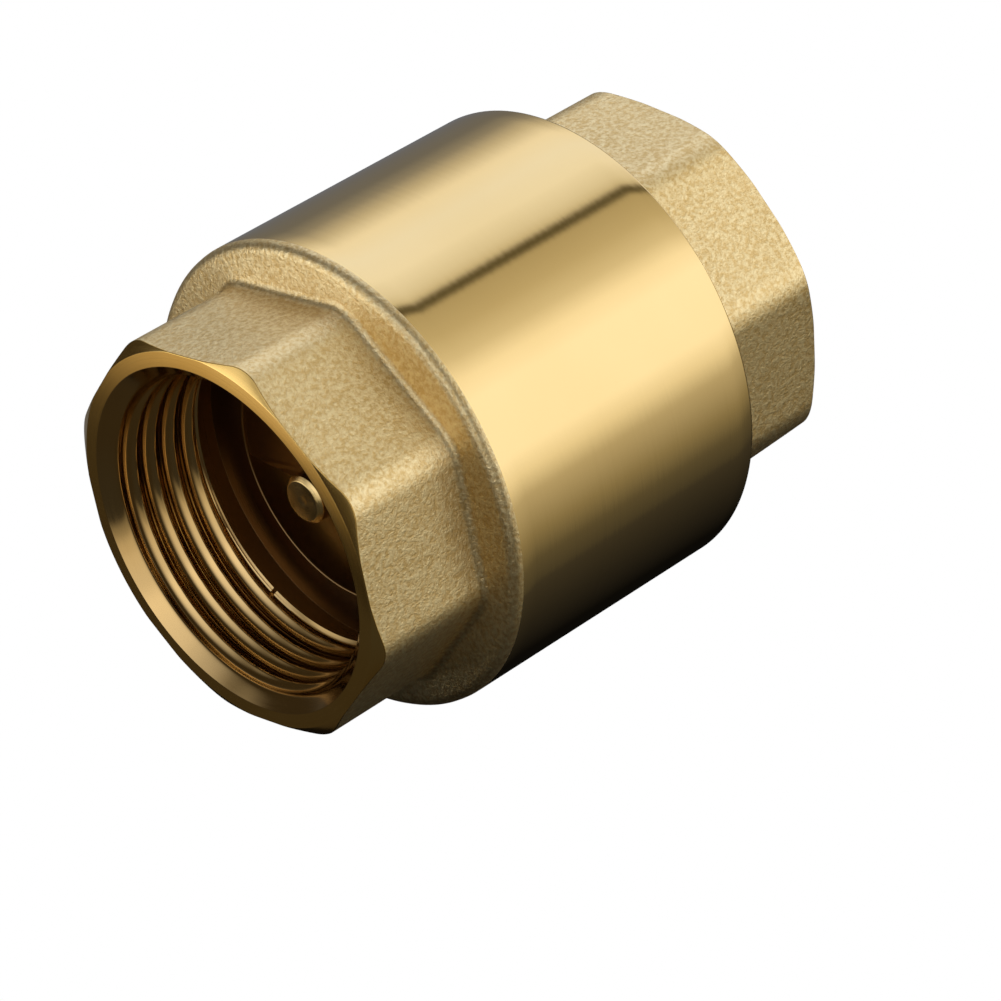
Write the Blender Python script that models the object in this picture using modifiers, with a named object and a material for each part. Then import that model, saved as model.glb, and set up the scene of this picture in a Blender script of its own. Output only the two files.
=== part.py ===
"""In-line spring check valve for a one-inch pipe, modelled piece by piece.

The flow axis is X, and water runs towards +X. The origin is the middle of the valve.
Each end has a right-hand pipe thread and an octagon for a wrench. The inlet body and its
barrel are one piece. The outlet cap screws into the barrel. Between them a sealing disc on a
stem slides along X in two guides, and a coil spring holds it on its seat.
"""
from math import cos, pi, radians, sin, tan

import bmesh
import bpy

MM = 0.001

# Overall shape
HALF_LENGTH = 29.05 * MM
HALF_BARREL = 15.2 * MM
BARREL_RADIUS = 23.25 * MM
BARREL_EDGE = 0.3 * MM
SHOULDER_X = -16.2 * MM
SHOULDER_ROUNDING = 1.1 * MM
OCTAGON_HALF_FLATS = 18.5 * MM
OCTAGON_CORNER_ROUNDING = 4.2 * MM
OCTAGON_END_RADIUS = 18.6 * MM
OCTAGON_END_DEPTH = 1.2 * MM
INLET_ROLL = radians(30)
OUTLET_ROLL = radians(40)

# Threaded socket, the same at both ends: a one-inch parallel pipe thread
PIPE_PITCH = 2.309 * MM
PIPE_MINOR_RADIUS = 15.146 * MM
PIPE_MAJOR_RADIUS = 16.625 * MM
PIPE_FLANK = radians(27.5)
PIPE_PHASE_X = -25.78 * MM
PIPE_PHASE_ANGLE = radians(300)
PIPE_LEAD_TURNS = 2
PIPE_TURNS = 5.5
MOUTH_RADIUS = 17.1 * MM
RELIEF_RADIUS = 16.85 * MM
RELIEF_X = -18.7 * MM

# Guides: a hub on two arms, one guide in each end
WINDOW_RADIUS = 12.6 * MM
HUB_RADIUS = 4.9 * MM
ARM_ROOT_HALF_WIDTH = 3.0 * MM
ARM_TIP_HALF_WIDTH = 4.2 * MM
INLET_GUIDE_BACK_X = -9.8 * MM
OUTLET_GUIDE_FRONT_X = 9.3 * MM
GUIDE_BORE_RADIUS = 3.25 * MM
SPRING_SEAT_RADIUS = 7.6 * MM
SPRING_SEAT_BACK_X = 10.8 * MM

# Chamber and seat inside the barrel
SEAT_X = -7.2 * MM
SEAT_BORE_RADIUS = 12.7 * MM
SEAT_OUTER_RADIUS = 13.9 * MM
SEAT_FOOT_RADIUS = 14.7 * MM
CHAMBER_FLOOR_X = -8.6 * MM
CHAMBER_RADIUS = 18.4 * MM

# Joint between the barrel and the cap
CAP_STEP_X = 3.4 * MM
CAP_NOSE_X = 5.2 * MM
CAP_BORE_RADIUS = 17.0 * MM
CAP_PITCH = 2.0 * MM
CAP_FLANK = radians(30)
CAP_THREAD_ROOT = 19.75 * MM
CAP_THREAD_CREST = 20.85 * MM
CAP_CREST_WIDTH = 0.25 * MM
CAP_THREAD_START_X = 7.0 * MM
CAP_THREAD_TURNS = 2.25
BARREL_THREAD_BORE = 20.1 * MM
BARREL_THREAD_LEAD_TURNS = 0.5
BARREL_THREAD_TURNS = 3.75
COLLAR_RADIUS = 21.1 * MM
COLLAR_X = 12.7 * MM
COLLAR_FACE_X = 15.3 * MM
COUNTERBORE_RADIUS = 21.4 * MM
COUNTERBORE_X = 12.4 * MM

# Moving group. Its stem lies low in the guides' loose bores.
STEM_RADIUS = 2.4 * MM
STEM_DROP = 0.5 * MM
STEM_TIP_X = -19.6 * MM
STEM_REAR_X = 14.0 * MM
STEM_CHAMFER = 0.35 * MM
STEM_COLLAR_RADIUS = 3.3 * MM
STEM_COLLAR_THICKNESS = 0.7 * MM
STACK_BORE_RADIUS = 2.7 * MM
CLAMP_RADIUS = 10.4 * MM
CLAMP_FRONT_X = -9.1 * MM
CLAMP_BACK_X = -7.25 * MM
CLAMP_RECESS_DEPTH = 1.0 * MM
SEAL_RADIUS = 14.7 * MM
SEAL_FRONT_X = -7.0 * MM
SEAL_BACK_X = -4.0 * MM
CUP_RADIUS = 16.0 * MM
CUP_INNER_RADIUS = 15.0 * MM
CUP_RIM_X = -5.6 * MM
CUP_FLOOR_X = -3.75 * MM
CUP_BACK_X = -1.75 * MM
BOSS_RADIUS = 5.7 * MM
BOSS_HEIGHT = 0.8 * MM
NUT_HALF_FLATS = 4.0 * MM
NUT_THICKNESS = 2.7 * MM

# Spring
WIRE_RADIUS = 0.4 * MM
COIL_RADIUS = 6.6 * MM
END_COILS = 0.75
WORKING_COILS = 3
END_COIL_PITCH = 1.15 * MM
POINTS_PER_COIL = 24

# Gap between pieces that touch on the real valve
TOUCH_GAP = 0.25 * MM

# Facets of one turn. Helical teeth start off the facet lines of the bores they cut.
LARGE_TURN = 36
SMALL_TURN = 24
HELIX_OFFSET = radians(2.5)


def clear_scene():
    for old in list(bpy.data.objects):
        bpy.data.objects.remove(old, do_unlink=True)


def make_collection(name):
    collection = bpy.data.collections.new(name)
    bpy.context.scene.collection.children.link(collection)
    return collection


def make_material(name, colour, roughness, metallic):
    material = bpy.data.materials.new(name)
    material.use_nodes = True
    shader = material.node_tree.nodes["Principled BSDF"]
    shader.inputs["Base Color"].default_value = (*colour, 1.0)
    shader.inputs["Roughness"].default_value = roughness
    shader.inputs["Metallic"].default_value = metallic
    return material


def mesh_object(name, bm, collection):
    """Turn a bmesh into an object of the given collection."""
    mesh = bpy.data.meshes.new(name)
    bm.to_mesh(mesh)
    bm.free()
    obj = bpy.data.objects.new(name, mesh)
    collection.objects.link(obj)
    return obj


def turned(name, outline, collection, steps=LARGE_TURN):
    """Turn an outline of (x, radius) points about X. It runs from high x to low x."""
    bm = bmesh.new()
    points = [bm.verts.new((x, radius, 0.0)) for x, radius in outline]
    for start, end in zip(points, points[1:]):
        bm.edges.new((start, end))
    if min(radius for _, radius in outline) > 0:
        bm.edges.new((points[-1], points[0]))
    obj = mesh_object(name, bm, collection)
    screw = obj.modifiers.new("Turn", "SCREW")
    screw.axis = "X"
    screw.steps = steps
    screw.render_steps = steps
    screw.use_merge_vertices = True
    screw.merge_threshold = 0.000001
    return obj


def cylinder(name, x_low, x_high, radius, collection, steps=LARGE_TURN):
    return turned(name, [(x_high, 0), (x_high, radius), (x_low, radius), (x_low, 0)], collection, steps)


def ring(name, x_low, x_high, inner, outer, collection, steps=LARGE_TURN):
    outline = [(x_high, inner), (x_high, outer), (x_low, outer), (x_low, inner)]
    return turned(name, outline, collection, steps)


def prism(name, sides, half_flats, x_low, x_high, roll, collection, corner=0.0):
    """A regular prism along X with a flat facing the roll angle, and rounded long edges."""
    bm = bmesh.new()
    bmesh.ops.create_cone(
        bm,
        cap_ends=True,
        segments=sides,
        radius1=half_flats / cos(pi / sides),
        radius2=half_flats / cos(pi / sides),
        depth=x_high - x_low,
    )
    if corner > 0:
        long_edges = [e for e in bm.edges if abs(e.verts[0].co.z - e.verts[1].co.z) > corner]
        tangent_length = corner * tan(pi / sides)
        bmesh.ops.bevel(bm, geom=long_edges, offset=tangent_length, segments=3, affect="EDGES", profile=0.5)
    for vert in bm.verts:
        along, across, up = vert.co.z, vert.co.x, vert.co.y
        angle = roll + pi / sides
        vert.co.x = along + (x_low + x_high) / 2
        vert.co.y = across * cos(angle) - up * sin(angle)
        vert.co.z = across * sin(angle) + up * cos(angle)
    return mesh_object(name, bm, collection)


def thread_section(minor, major, crest_width, flank, foot_below, inner):
    """Half outline of a thread tooth as (radius, half width): straight flanks on a square foot."""
    foot = minor - foot_below
    foot_half_width = crest_width / 2 + (major - foot) * tan(flank)
    return [(inner, foot_half_width), (foot, foot_half_width), (major, crest_width / 2)]


def helical_tooth(name, section, pitch, x_start, start_angle, turns, collection):
    """Sweep a thread tooth along a right-hand helix about X. The result is one closed body."""
    bm = bmesh.new()
    corners = [(-half, radius) for radius, half in section]
    corners += [(half, radius) for radius, half in reversed(section)]
    angle = start_angle + HELIX_OFFSET
    points = [
        bm.verts.new((x_start + along, radius * cos(angle), radius * sin(angle))) for along, radius in corners
    ]
    face = bm.faces.new(points)
    steps = round(turns * LARGE_TURN)
    bmesh.ops.spin(
        bm,
        geom=[face, *face.edges, *face.verts],
        cent=(0, 0, 0),
        axis=(1, 0, 0),
        dvec=(pitch / LARGE_TURN, 0, 0),
        angle=steps * 2 * pi / LARGE_TURN,
        steps=steps,
        use_merge=False,
        use_duplicate=False,
    )
    bmesh.ops.recalc_face_normals(bm, faces=bm.faces)
    return mesh_object(name, bm, collection)


def boolean_all(obj, others, operation):
    """Cut or join several pieces in one exact step, through a collection that holds them."""
    group = bpy.data.collections.new(f"{operation.lower()}_{obj.name}")
    bpy.data.collections["cutters"].children.link(group)
    for other in others:
        group.objects.link(other)
    modifier = obj.modifiers.new(operation.title(), "BOOLEAN")
    modifier.operation = operation
    modifier.solver = "EXACT"
    modifier.operand_type = "COLLECTION"
    modifier.collection = group


def cut(obj, *others):
    boolean_all(obj, others, "DIFFERENCE")


def join(obj, *others):
    boolean_all(obj, others, "UNION")


def keep_inside(obj, envelope):
    modifier = obj.modifiers.new("Intersect", "BOOLEAN")
    modifier.operation = "INTERSECT"
    modifier.solver = "EXACT"
    modifier.object = envelope


def turn_round(*objects):
    """Turn pieces made for the inlet end half a turn about Z, to the outlet end."""
    for obj in objects:
        obj.rotation_euler.z = pi


def octagon_end(name, roll, x_inner, collection, cutters):
    """The wrench octagon of the inlet end, with its corners turned off at the end face."""
    obj = prism(name, 8, OCTAGON_HALF_FLATS, -HALF_LENGTH, x_inner, roll, collection, OCTAGON_CORNER_ROUNDING)
    rise = 2 * MM
    clear_radius = OCTAGON_END_RADIUS + rise
    slope = OCTAGON_END_DEPTH / (OCTAGON_HALF_FLATS / cos(pi / 8) - OCTAGON_END_RADIUS)
    outline = [
        (x_inner + 1 * MM, 0),
        (x_inner + 1 * MM, clear_radius),
        (-HALF_LENGTH + rise * slope, clear_radius),
        (-HALF_LENGTH - rise * slope, OCTAGON_END_RADIUS - rise),
        (-HALF_LENGTH - rise * slope, 0),
    ]
    envelope = turned(name + "_envelope", outline, cutters)
    envelope.parent = obj
    keep_inside(obj, envelope)
    return obj


def socket_cutters(prefix, cutters):
    """What is cut from the inlet end: the socket's turned bore and its helical thread groove."""
    bore = turned(
        prefix + "_socket",
        [
            (-HALF_BARREL, 0),
            (-HALF_BARREL, RELIEF_RADIUS),
            (RELIEF_X, RELIEF_RADIUS),
            (RELIEF_X - 0.3 * MM, PIPE_MINOR_RADIUS),
            (-HALF_LENGTH + MOUTH_RADIUS - PIPE_MINOR_RADIUS, PIPE_MINOR_RADIUS),
            (-HALF_LENGTH - 1 * MM, MOUTH_RADIUS + 1 * MM),
            (-HALF_LENGTH - 1 * MM, 0),
        ],
        cutters,
    )
    section = thread_section(
        PIPE_MINOR_RADIUS,
        PIPE_MAJOR_RADIUS,
        crest_width=PIPE_PITCH / 6,
        flank=PIPE_FLANK,
        foot_below=0.1 * MM,
        inner=PIPE_MINOR_RADIUS - 0.5 * MM,
    )
    groove = helical_tooth(
        prefix + "_thread",
        section,
        PIPE_PITCH,
        PIPE_PHASE_X - PIPE_LEAD_TURNS * PIPE_PITCH,
        PIPE_PHASE_ANGLE,
        PIPE_TURNS,
        cutters,
    )
    return bore, groove


def guide_bore_cutter(name, x_low, x_high, cutters):
    """The stem's bore through a guide, past both of its faces."""
    return cylinder(name, x_low - 1 * MM, x_high + 1 * MM, GUIDE_BORE_RADIUS, cutters, SMALL_TURN)


def window_cutter(name, x_low, x_high, cutters, seat_back_x=None):
    """The flow passage round a guide: a disc less the hub and its two flared arms along Y.

    It reaches past both faces of the guide. The outlet's hub starts with a wider collar, which
    ends at seat_back_x, for the spring to sit on.
    """
    x_low -= 0.5 * MM
    x_high += 0.5 * MM
    window = cylinder(name, x_low, x_high, WINDOW_RADIUS, cutters)
    hub_outline = [(x_high + 1 * MM, 0), (x_high + 1 * MM, HUB_RADIUS)]
    if seat_back_x:
        hub_outline += [(seat_back_x, HUB_RADIUS), (seat_back_x, SPRING_SEAT_RADIUS)]
    end_radius = hub_outline[-1][1]
    hub_outline += [(x_low - 1 * MM, end_radius), (x_low - 1 * MM, 0)]
    hub = turned(name + "_hub", hub_outline, cutters, SMALL_TURN)
    reach = WINDOW_RADIUS + 1 * MM
    outline = [
        (-reach, -ARM_TIP_HALF_WIDTH),
        (0, -ARM_ROOT_HALF_WIDTH),
        (reach, -ARM_TIP_HALF_WIDTH),
        (reach, ARM_TIP_HALF_WIDTH),
        (0, ARM_ROOT_HALF_WIDTH),
        (-reach, ARM_TIP_HALF_WIDTH),
    ]
    bm = bmesh.new()
    face = bm.faces.new([bm.verts.new((x_low - 1.2 * MM, y, z)) for y, z in outline])
    pushed = bmesh.ops.extrude_face_region(bm, geom=[face])
    moved = [v for v in pushed["geom"] if isinstance(v, bmesh.types.BMVert)]
    bmesh.ops.translate(bm, verts=moved, vec=(x_high - x_low + 2.4 * MM, 0, 0))
    bmesh.ops.recalc_face_normals(bm, faces=bm.faces)
    arms = mesh_object(name + "_arms", bm, cutters)
    join(hub, arms)
    cut(window, hub)
    return window


def cap_thread(name, clearance, x_start, turns, minor, overlap, cutters):
    """The cap's tooth, or with clearance the groove that it runs in, both on the same helix."""
    section = thread_section(
        minor,
        CAP_THREAD_CREST + clearance,
        crest_width=CAP_CREST_WIDTH + 2 * clearance * (1 / cos(CAP_FLANK) - tan(CAP_FLANK)),
        flank=CAP_FLANK,
        foot_below=0.08 * MM,
        inner=minor - overlap,
    )
    start_angle = 2 * pi * (x_start - CAP_THREAD_START_X) / CAP_PITCH
    return helical_tooth(name, section, CAP_PITCH, x_start, start_angle, turns, cutters)


def make_inlet_body(parts, cutters):
    edge = BARREL_EDGE
    rounding = [
        (
            SHOULDER_X + SHOULDER_ROUNDING * (1 - sin(angle)),
            BARREL_RADIUS - SHOULDER_ROUNDING * (1 - cos(angle)),
        )
        for angle in (radians(step) for step in (0, 30, 60, 90))
    ]
    outline = [(HALF_BARREL, 0), (HALF_BARREL, BARREL_RADIUS - edge), (HALF_BARREL - edge, BARREL_RADIUS)]
    body = turned("inlet_body", outline + rounding + [(SHOULDER_X, 0)], parts)
    join(body, octagon_end("inlet_octagon", INLET_ROLL, SHOULDER_X + 0.7 * MM, cutters, cutters))
    chamber = turned(
        "chamber",
        [
            (HALF_BARREL + 1 * MM, 0),
            (HALF_BARREL + 1 * MM, COUNTERBORE_RADIUS),
            (COUNTERBORE_X, COUNTERBORE_RADIUS),
            (COUNTERBORE_X - 1 * MM, BARREL_THREAD_BORE),
            (CAP_STEP_X, BARREL_THREAD_BORE),
            (CAP_STEP_X, CHAMBER_RADIUS),
            (CHAMBER_FLOOR_X, CHAMBER_RADIUS),
            (CHAMBER_FLOOR_X, SEAT_FOOT_RADIUS),
            (SEAT_X, SEAT_OUTER_RADIUS),
            (SEAT_X, SEAT_BORE_RADIUS),
            (INLET_GUIDE_BACK_X, SEAT_BORE_RADIUS),
            (INLET_GUIDE_BACK_X, 0),
        ],
        cutters,
    )
    groove = cap_thread(
        "barrel_thread",
        0.3 * MM,
        CAP_THREAD_START_X - BARREL_THREAD_LEAD_TURNS * CAP_PITCH,
        BARREL_THREAD_TURNS,
        BARREL_THREAD_BORE,
        0.5 * MM,
        cutters,
    )
    bore, thread = socket_cutters("inlet", cutters)
    window = window_cutter("inlet_window", -HALF_BARREL, INLET_GUIDE_BACK_X, cutters)
    guide_bore = guide_bore_cutter("inlet_guide_bore", -HALF_BARREL, INLET_GUIDE_BACK_X, cutters)
    cut(body, chamber, groove, bore, thread, window, guide_bore)
    return body


def make_outlet_cap(parts, cutters):
    body = turned(
        "outlet_cap",
        [
            (COLLAR_FACE_X, 0),
            (COLLAR_FACE_X, COLLAR_RADIUS),
            (COLLAR_X, COLLAR_RADIUS),
            (COLLAR_X, CAP_THREAD_ROOT - 0.1 * MM),
            (CAP_NOSE_X, CAP_THREAD_ROOT - 0.1 * MM),
            (CAP_NOSE_X, 0),
        ],
        parts,
    )
    octagon = octagon_end("outlet_octagon", pi - OUTLET_ROLL, -COLLAR_FACE_X + 0.7 * MM, cutters, cutters)
    bore, thread = socket_cutters("outlet", cutters)
    turn_round(octagon, bore, thread)
    tooth = cap_thread(
        "cap_thread", 0.0, CAP_THREAD_START_X, CAP_THREAD_TURNS, CAP_THREAD_ROOT, 0.6 * MM, cutters
    )
    join(body, octagon, tooth)
    cap_bore = cylinder("cap_bore", CAP_NOSE_X - 1 * MM, OUTLET_GUIDE_FRONT_X, CAP_BORE_RADIUS, cutters)
    window = window_cutter("outlet_window", OUTLET_GUIDE_FRONT_X, HALF_BARREL, cutters, SPRING_SEAT_BACK_X)
    guide_bore = guide_bore_cutter("outlet_guide_bore", OUTLET_GUIDE_FRONT_X, HALF_BARREL, cutters)
    cut(body, cap_bore, bore, thread, window, guide_bore)
    return body


def make_cap_gasket(parts):
    return ring(
        "cap_gasket",
        CAP_STEP_X + TOUCH_GAP,
        CAP_NOSE_X - TOUCH_GAP,
        CHAMBER_RADIUS + TOUCH_GAP,
        BARREL_THREAD_BORE - TOUCH_GAP,
        parts,
    )


def make_stem(parts):
    collar_back = CLAMP_FRONT_X + STEM_COLLAR_THICKNESS
    return turned(
        "stem",
        [
            (STEM_REAR_X, 0),
            (STEM_REAR_X, STEM_RADIUS - STEM_CHAMFER),
            (STEM_REAR_X - STEM_CHAMFER, STEM_RADIUS),
            (collar_back, STEM_RADIUS),
            (collar_back, STEM_COLLAR_RADIUS),
            (CLAMP_FRONT_X, STEM_COLLAR_RADIUS),
            (CLAMP_FRONT_X, STEM_RADIUS),
            (STEM_TIP_X + STEM_CHAMFER, STEM_RADIUS),
            (STEM_TIP_X, STEM_RADIUS - STEM_CHAMFER),
            (STEM_TIP_X, 0),
        ],
        parts,
        SMALL_TURN,
    )


def make_clamp_disc(parts):
    recess_radius = STEM_COLLAR_RADIUS + 0.3 * MM
    recess_x = CLAMP_FRONT_X + CLAMP_RECESS_DEPTH
    return turned(
        "clamp_disc",
        [
            (CLAMP_BACK_X, STACK_BORE_RADIUS),
            (CLAMP_BACK_X, CLAMP_RADIUS),
            (CLAMP_FRONT_X + 0.4 * MM, CLAMP_RADIUS),
            (CLAMP_FRONT_X, CLAMP_RADIUS - 0.4 * MM),
            (CLAMP_FRONT_X, recess_radius),
            (recess_x, recess_radius),
            (recess_x, STACK_BORE_RADIUS),
        ],
        parts,
    )


def make_seal_disc(parts):
    return ring("seal_disc", SEAL_FRONT_X, SEAL_BACK_X, STACK_BORE_RADIUS, SEAL_RADIUS, parts)


def make_backing_disc(parts):
    boss_x = CUP_BACK_X + BOSS_HEIGHT
    return turned(
        "backing_disc",
        [
            (boss_x, STACK_BORE_RADIUS),
            (boss_x, BOSS_RADIUS),
            (CUP_BACK_X, BOSS_RADIUS),
            (CUP_BACK_X, CUP_RADIUS - 0.5 * MM),
            (CUP_BACK_X - 0.5 * MM, CUP_RADIUS),
            (CUP_RIM_X, CUP_RADIUS),
            (CUP_RIM_X, CUP_INNER_RADIUS),
            (CUP_FLOOR_X, CUP_INNER_RADIUS),
            (CUP_FLOOR_X, STACK_BORE_RADIUS),
        ],
        parts,
    )


def make_stem_nut(parts, cutters):
    x_low = CUP_BACK_X + BOSS_HEIGHT + TOUCH_GAP
    x_high = x_low + NUT_THICKNESS
    nut = prism("stem_nut", 6, NUT_HALF_FLATS, x_low, x_high, 0.0, parts)
    corner_radius = NUT_HALF_FLATS / cos(pi / 6)
    envelope = turned(
        "nut_envelope",
        [
            (x_high + 1 * MM, 0),
            (x_high + 1 * MM, NUT_HALF_FLATS - 1.9 * MM),
            (x_high - 0.5 * MM, corner_radius + 0.4 * MM),
            (x_low - 1 * MM, corner_radius + 0.4 * MM),
            (x_low - 1 * MM, 0),
        ],
        cutters,
        SMALL_TURN,
    )
    keep_inside(nut, envelope)
    cut(nut, cylinder("nut_bore", x_low - 1 * MM, x_high + 1 * MM, STACK_BORE_RADIUS, cutters, SMALL_TURN))
    return nut


def make_spring(parts):
    """A coil whose end turns lie close together, as one open curve with a round wire."""
    x_low = CUP_BACK_X + TOUCH_GAP + WIRE_RADIUS
    x_high = OUTLET_GUIDE_FRONT_X - TOUCH_GAP - WIRE_RADIUS
    end_rise = END_COILS * END_COIL_PITCH
    working_pitch = (x_high - x_low - 2 * end_rise) / WORKING_COILS
    turns = 2 * END_COILS + WORKING_COILS
    points = []
    for step in range(round(turns * POINTS_PER_COIL) + 1):
        turn = step / POINTS_PER_COIL
        first = min(turn, END_COILS)
        middle = min(max(turn - END_COILS, 0), WORKING_COILS)
        last = max(turn - END_COILS - WORKING_COILS, 0)
        x = x_low + (first + last) * END_COIL_PITCH + middle * working_pitch
        points.append((x, COIL_RADIUS * cos(2 * pi * turn), COIL_RADIUS * sin(2 * pi * turn)))
    curve = bpy.data.curves.new("spring", "CURVE")
    curve.dimensions = "3D"
    curve.bevel_depth = WIRE_RADIUS
    curve.bevel_resolution = 2
    curve.use_fill_caps = True
    spline = curve.splines.new("POLY")
    spline.points.add(len(points) - 1)
    for target, point in zip(spline.points, points):
        target.co = (*point, 1.0)
    obj = bpy.data.objects.new("spring", curve)
    parts.objects.link(obj)
    return obj


def bake(obj):
    """Apply an object's modifiers and shade its round faces smooth."""
    graph = bpy.context.evaluated_depsgraph_get()
    mesh = bpy.data.meshes.new_from_object(obj.evaluated_get(graph))
    obj.modifiers.clear()
    obj.data = mesh
    mesh.name = obj.name
    mesh.shade_smooth()
    mesh.set_sharp_from_angle(angle=radians(30))


def hide_cutters(cutters):
    for cutter in cutters.objects:
        cutter.hide_render = True
        cutter.display_type = "WIRE"


def build():
    clear_scene()
    parts = make_collection("check_valve")
    cutters = make_collection("cutters")

    forged_brass = make_material("forged_brass", (0.62, 0.47, 0.24), 0.45, 1.0)
    turned_brass = make_material("turned_brass", (0.72, 0.53, 0.24), 0.25, 1.0)
    rubber = make_material("rubber", (0.02, 0.02, 0.02), 0.7, 0.0)
    steel = make_material("stainless_steel", (0.6, 0.6, 0.6), 0.3, 1.0)

    fixed = [
        (make_inlet_body(parts, cutters), forged_brass),
        (make_outlet_cap(parts, cutters), forged_brass),
        (make_cap_gasket(parts), rubber),
    ]
    sliding = [
        (make_stem(parts), turned_brass),
        (make_clamp_disc(parts), turned_brass),
        (make_seal_disc(parts), rubber),
        (make_backing_disc(parts), turned_brass),
        (make_stem_nut(parts, cutters), turned_brass),
    ]
    spring = make_spring(parts)
    hide_cutters(cutters)

    for obj, material in fixed + sliding:
        bake(obj)
        obj.data.materials.clear()
        obj.data.materials.append(material)
    spring.data.materials.append(steel)

    stem_axis = bpy.data.objects.new("stem_axis", None)
    stem_axis.location.z = -STEM_DROP
    parts.objects.link(stem_axis)
    for obj in [piece for piece, _ in sliding] + [spring]:
        obj.parent = stem_axis


build()
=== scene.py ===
"""In-line spring check valve of turned and forged brass, on a plain pale floor in a studio.

The flow axis is X, as in the CAD frame. Angles round X run from +Y towards +Z.
"""
from math import atan, atan2, cos, hypot, pi, radians, sin, sqrt, tan

import bmesh
import bpy
from mathutils import Matrix, Vector


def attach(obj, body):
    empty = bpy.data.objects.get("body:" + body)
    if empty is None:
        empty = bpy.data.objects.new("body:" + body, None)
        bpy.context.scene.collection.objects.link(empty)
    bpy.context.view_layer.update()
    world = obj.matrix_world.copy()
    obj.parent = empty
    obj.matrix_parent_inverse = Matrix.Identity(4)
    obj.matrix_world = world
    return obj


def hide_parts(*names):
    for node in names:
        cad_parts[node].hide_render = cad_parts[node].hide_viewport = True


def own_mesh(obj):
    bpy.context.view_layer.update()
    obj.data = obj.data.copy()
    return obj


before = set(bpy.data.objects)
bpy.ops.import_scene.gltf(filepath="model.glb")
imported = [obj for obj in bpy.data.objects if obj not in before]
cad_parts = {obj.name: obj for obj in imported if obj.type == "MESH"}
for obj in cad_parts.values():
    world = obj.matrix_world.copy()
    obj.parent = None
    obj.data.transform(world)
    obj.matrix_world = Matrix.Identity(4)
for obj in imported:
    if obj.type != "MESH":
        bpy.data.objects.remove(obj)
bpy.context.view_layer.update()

MM = 0.001

# Outer shape
HALF_LENGTH = 29.05 * MM
RIM_X = 15.2 * MM
BARREL_RADIUS = 23.25 * MM
SHOULDER_X = 16.2 * MM
SHOULDER_ROUNDING = 1.1 * MM
HALF_FLATS = 18.5 * MM
CORNER_ROUNDING = 4.2 * MM
ROOT_FILLET = 0.9 * MM
END_RADIUS = 18.56 * MM
END_SLOPE = 0.60
FACE_CROWN = 0.06 * MM
FACE_INSET = 0.08 * MM
SHOULDER_DRAFT = 0.28 * MM
INLET_ROLL = radians(30)
OUTLET_ROLL = radians(40)

# Threaded sockets
PITCH = 2.309 * MM
MINOR_RADIUS = 15.146 * MM
THREAD_DEPTH = 0.75 * MM
EDGE_BLEND = 0.08 * MM
GROOVE_X = -25.18 * MM
GROOVE_ANGLE = radians(300)
MOUTH_RADIUS = 17.1 * MM
MOUTH_BLEND = 0.22 * MM
RELIEF_RADIUS = 16.85 * MM
RELIEF_X = -18.2 * MM
LIP_RADIUS = 15.40 * MM
LIP_SLOPE = 1.3
TOOL_MARK_ANGLE = radians(291)
TOOL_MARK_HALF_WIDTH = radians(0.8)
TOOL_MARK_DEPTH = 0.9 * MM

# Guides at both ends, with two arms along Y between the flow's windows
WINDOW_RADIUS = 12.6 * MM
HUB_RADIUS = 4.9 * MM
GUIDE_BORE = 3.25 * MM
ARM_HALF_WIDTH = 3.0 * MM
ARM_FLARE = 0.088
INLET_GUIDE_BACK = 9.8 * MM
OUTLET_GUIDE_BACK = 9.3 * MM
SPRING_COLLAR_RADIUS = 7.6 * MM

# Chamber inside the barrel, from the seat to the step that the gasket lies on
SEAT_X = -7.2 * MM
SEAT_RADIUS = 13.9 * MM
SEAT_FOOT_X = -8.6 * MM
SEAT_FOOT_RADIUS = 14.7 * MM
CHAMBER_RADIUS = 18.4 * MM
GASKET_STEP_X = 3.4 * MM

# Joint between the barrel and the cap
COLLAR_FACE_X = 15.3 * MM
COLLAR_BORE_RADIUS = 21.4 * MM
COLLAR_BORE_X = 12.4 * MM
COLLAR_RADIUS = 21.1 * MM
COLLAR_BACK_X = 12.7 * MM
BARREL_THREAD_RADIUS = 20.1 * MM
CAP_THREAD_RADIUS = 19.65 * MM
CAP_NOSE_X = 5.2 * MM
CAP_NOSE_BORE = 17.0 * MM
CAP_THREAD_X = 7.0 * MM
CAP_PITCH = 2.0 * MM
CAP_FLANK = radians(30)

# Moving group. Its stem lies low in the guides' loose bores.
STEM_DROP = 0.5 * MM
STEM_RADIUS = 2.4 * MM
DISC_BORE = STEM_RADIUS + 0.05 * MM

# Material slots of the housing. The socket's and the cavity's slots hold brass darkened as painted
# shade, the cavity's much more.
FORGED, BARREL, SHADED_SOCKET, FACE, SHADED_CAVITY = range(5)


# ---------------------------------------------------------------- geometry

def octagon_columns():
    """Angles of one turn, from a flat's middle, with more of them over the rounded corners."""
    edge = atan((HALF_FLATS - CORNER_ROUNDING) * tan(pi / 8) / HALF_FLATS)
    flat_steps, corner_steps = 18, 10
    sector = [edge * (2 * i / flat_steps - 1) for i in range(flat_steps)]
    sector += [edge + (pi / 4 - 2 * edge) * i / corner_steps for i in range(corner_steps)]
    return [k * pi / 4 + angle for k in range(8) for angle in sector]


def octagon_radius(angle):
    """Distance from the axis to a rounded octagon's side, at an angle from a flat's middle."""
    off = abs((angle + pi / 8) % (pi / 4) - pi / 8)
    edge = atan((HALF_FLATS - CORNER_ROUNDING) * tan(pi / 8) / HALF_FLATS)
    if off < edge:
        return HALF_FLATS / cos(off)
    centre = (HALF_FLATS - CORNER_ROUNDING) / cos(pi / 8)
    turn = off - pi / 8
    return centre * cos(turn) + sqrt(CORNER_ROUNDING ** 2 - (centre * sin(turn)) ** 2)


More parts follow.
